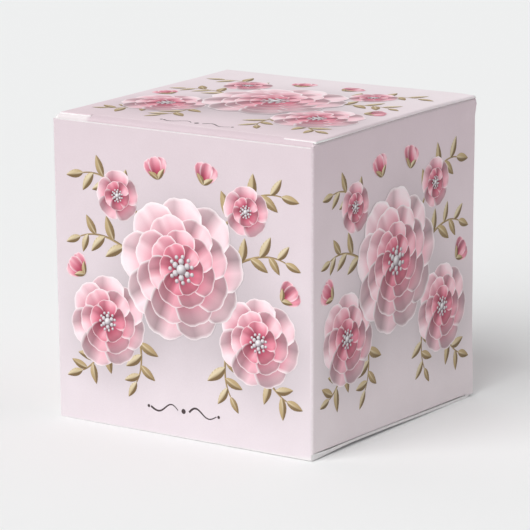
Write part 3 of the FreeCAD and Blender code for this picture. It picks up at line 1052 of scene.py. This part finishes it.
    # Dust creases and flaps
    dust_z = HEIGHT - DUST_TOP
    tip_near = DUST_NEAR - DUST_LENGTH * np.tan(DUST_TAPER_NEAR)
    tip_far = DUST_FAR - DUST_LENGTH * np.tan(DUST_TAPER_FAR)
    for side, hand in (("right", 1), ("left", -1)):
        label = f"{end}_{side}_dust"
        axis = -hand * Y
        ends = (FLAT, FLAT if hand > 0 else FLAT - DUST_SHORT) if lid else (FLAT, DUST_FAR)
        ends = (-ends[0], ends[1]) if hand > 0 else (-ends[1], ends[0])
        centre = (hand * FLAT, 0, dust_z - CREASE_OUTSIDE)
        outer, inner, share = bent_strip(centre, axis, hand * X, 90, CREASE, spread(*ends))
        ink = mix(wall_ink(place(outer, True)), PAPER_WHITE, smooth(share, *DUST_WHITE))
        wear = DUST_WEAR * ridge_wear(share)
        hang = right_hang(place(outer, True)) if hand > 0 else 1.0
        outer, inner = place(outer, True, hang), place(inner, True, hang)
        rim = PRINTED if hand > 0 else EDGE
        piece = board_piece(
            label + "_crease", label + "_fold", outer, inner, ink, "white_board", wear, rim
        )
        root = at(hand * (FLAT + CREASE_REACH), 0, dust_z - CREASE_OUTSIDE)
        tip = at(hand * FLAT, 0, dust_z - BOARD / 2)
        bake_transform(piece)
        face = Face((hand * (HALF - BOARD / 2), 0, dust_z), hand * Y, -hand * X)
        sizes = (CREASE_REACH, DUST_LENGTH, DUST_CORNER)
        if hand > 0:
            columns, high = flap_outline(DUST_FAR, DUST_NEAR, *sizes, (tip_far, tip_near))
        else:
            columns, high = flap_outline(DUST_NEAR, DUST_FAR, *sizes, (tip_near, tip_far))
        outer, inner = sheet(face, columns, CREASE_REACH, high, np.linspace(0, 1, FLAP_ROWS))[:2]
        ink = plain_ink(outer)
        hang = right_hang(place(outer, True)) if hand > 0 else 1.0
        outer, inner = place(outer, True, hang), place(inner, True, hang)
        piece = board_piece(label + "_flap_board", label + "_flap", outer, inner, ink, "white_board")
        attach(piece, label)


build_walls()
build_corner_creases()
for end in ("lid", "base"):
    build_end(end)
for label, face, body, flourish in (
    ("front", FRONT, "tube", True),
    ("right", RIGHT, "tube", False),
    ("back", BACK, "tube", False),
    ("left", LEFT, "tube", False),
    ("lid", LID, "lid", True),
):
    posy(face, flourish).piece(label + "_print", body, body == "tube")

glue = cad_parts["seam_glue"]
glue.data.materials.clear()
glue.data.materials.append(GLUE)


# Floor, light and camera
FLOOR_LEVEL = -0.07
FLOOR_SLOPE = np.array([-1.05, 0.81]) / WIDTH
FLOOR_HALF = 3000.0
FLOOR_TONES = colour(244, 245, 245), colour(246, 247, 247)
BACKDROP = colour(238, 239, 239)
KEY_TOWARD = Vector((-0.08, -0.60, 0.52))
KEY_ANGLE = np.radians(54)
ROOM_FRONT = 0.18
ROOM_RISE = 0.47
ROOM_TURN = 0.3
AZIMUTH = np.radians(33.106)
ELEVATION = np.radians(11.958)
DISTANCE = 0.7881
TARGET = Vector((-0.00039, 0.00007, 0.02424))
SENSOR = 36.0
LENS = SENSOR * 8.8221


def build_floor():
    """Pale table top, far wider than the view, tilted a little to meet the settled foot."""
    corners = FLOOR_HALF * np.array([(-1, -1), (1, -1), (1, 1), (-1, 1)])
    corners = np.column_stack([corners, FLOOR_LEVEL + corners @ FLOOR_SLOPE]) * MM
    mesh = bpy.data.meshes.new("floor")
    mesh.from_pydata(corners.tolist(), [], [(0, 1, 2, 3)])
    material, tree, place = new_finish("pale_floor")
    cloud = noise(place, 3.0, 2.0)
    base = cloud.blended(*map(rgba, FLOOR_TONES))
    shade(tree, base, 0.9 + 0.05 * cloud, noise(place, 700), 0.00001, 0.0)
    mesh.materials.append(material)
    floor = bpy.data.objects.new("floor", mesh)
    bpy.context.scene.collection.objects.link(floor)


def build_light():
    """Soft key from the front above, and a white room that is brighter behind the box, in a smooth
    step."""
    key = bpy.data.lights.new("key", "SUN")
    key.energy = np.pi * KEY_TOWARD.length
    key.angle = KEY_ANGLE
    lamp = bpy.data.objects.new("key", key)
    lamp.rotation_euler = KEY_TOWARD.to_track_quat("Z", "Y").to_euler()
    bpy.context.scene.collection.objects.link(lamp)
    world = bpy.data.worlds.new("room")
    bpy.context.scene.world = world
    world.use_nodes = True
    world.node_tree.nodes.clear()
    tree = Wire(world.node_tree)
    way = tree.add("SeparateXYZ", {}, {0: tree.add("TexCoord")}, 1)
    path = tree.add("LightPath")
    rays = path.socket.node.outputs
    seen = Wire(tree.tree, rays["Is Camera Ray"]) + Wire(tree.tree, rays["Is Glossy Ray"])
    seen = seen + Wire(tree.tree, rays["Is Transmission Ray"])
    strength = ROOM_FRONT + ROOM_RISE * way.between(-ROOM_TURN, ROOM_TURN)
    room = tree.add("Background", {}, {"Color": (1, 1, 1, 1), "Strength": strength})
    pale = tree.add("Background", {}, {"Color": rgba(BACKDROP), "Strength": 1.0})
    both = tree.add("MixShader", {}, {0: seen.math("MINIMUM", seen, 1.0), 1: room, 2: pale})
    out = world.node_tree.nodes.new("ShaderNodeOutputWorld")
    world.node_tree.links.new(both.socket, out.inputs["Surface"])


def build_camera():
    """Long lens at the photograph's height and angle."""
    level = np.cos(ELEVATION)
    back = Vector((np.sin(AZIMUTH) * level, -np.cos(AZIMUTH) * level, np.sin(ELEVATION)))
    data = bpy.data.cameras.new("camera")
    data.sensor_width = SENSOR
    data.lens = LENS
    camera = bpy.data.objects.new("camera", data)
    camera.location = TARGET + back * DISTANCE
    camera.rotation_euler = (-back).to_track_quat("-Z", "Y").to_euler()
    bpy.context.scene.collection.objects.link(camera)
    bpy.context.scene.camera = camera


build_floor()
build_light()
build_camera()
bpy.context.scene.view_settings.view_transform = "Standard"
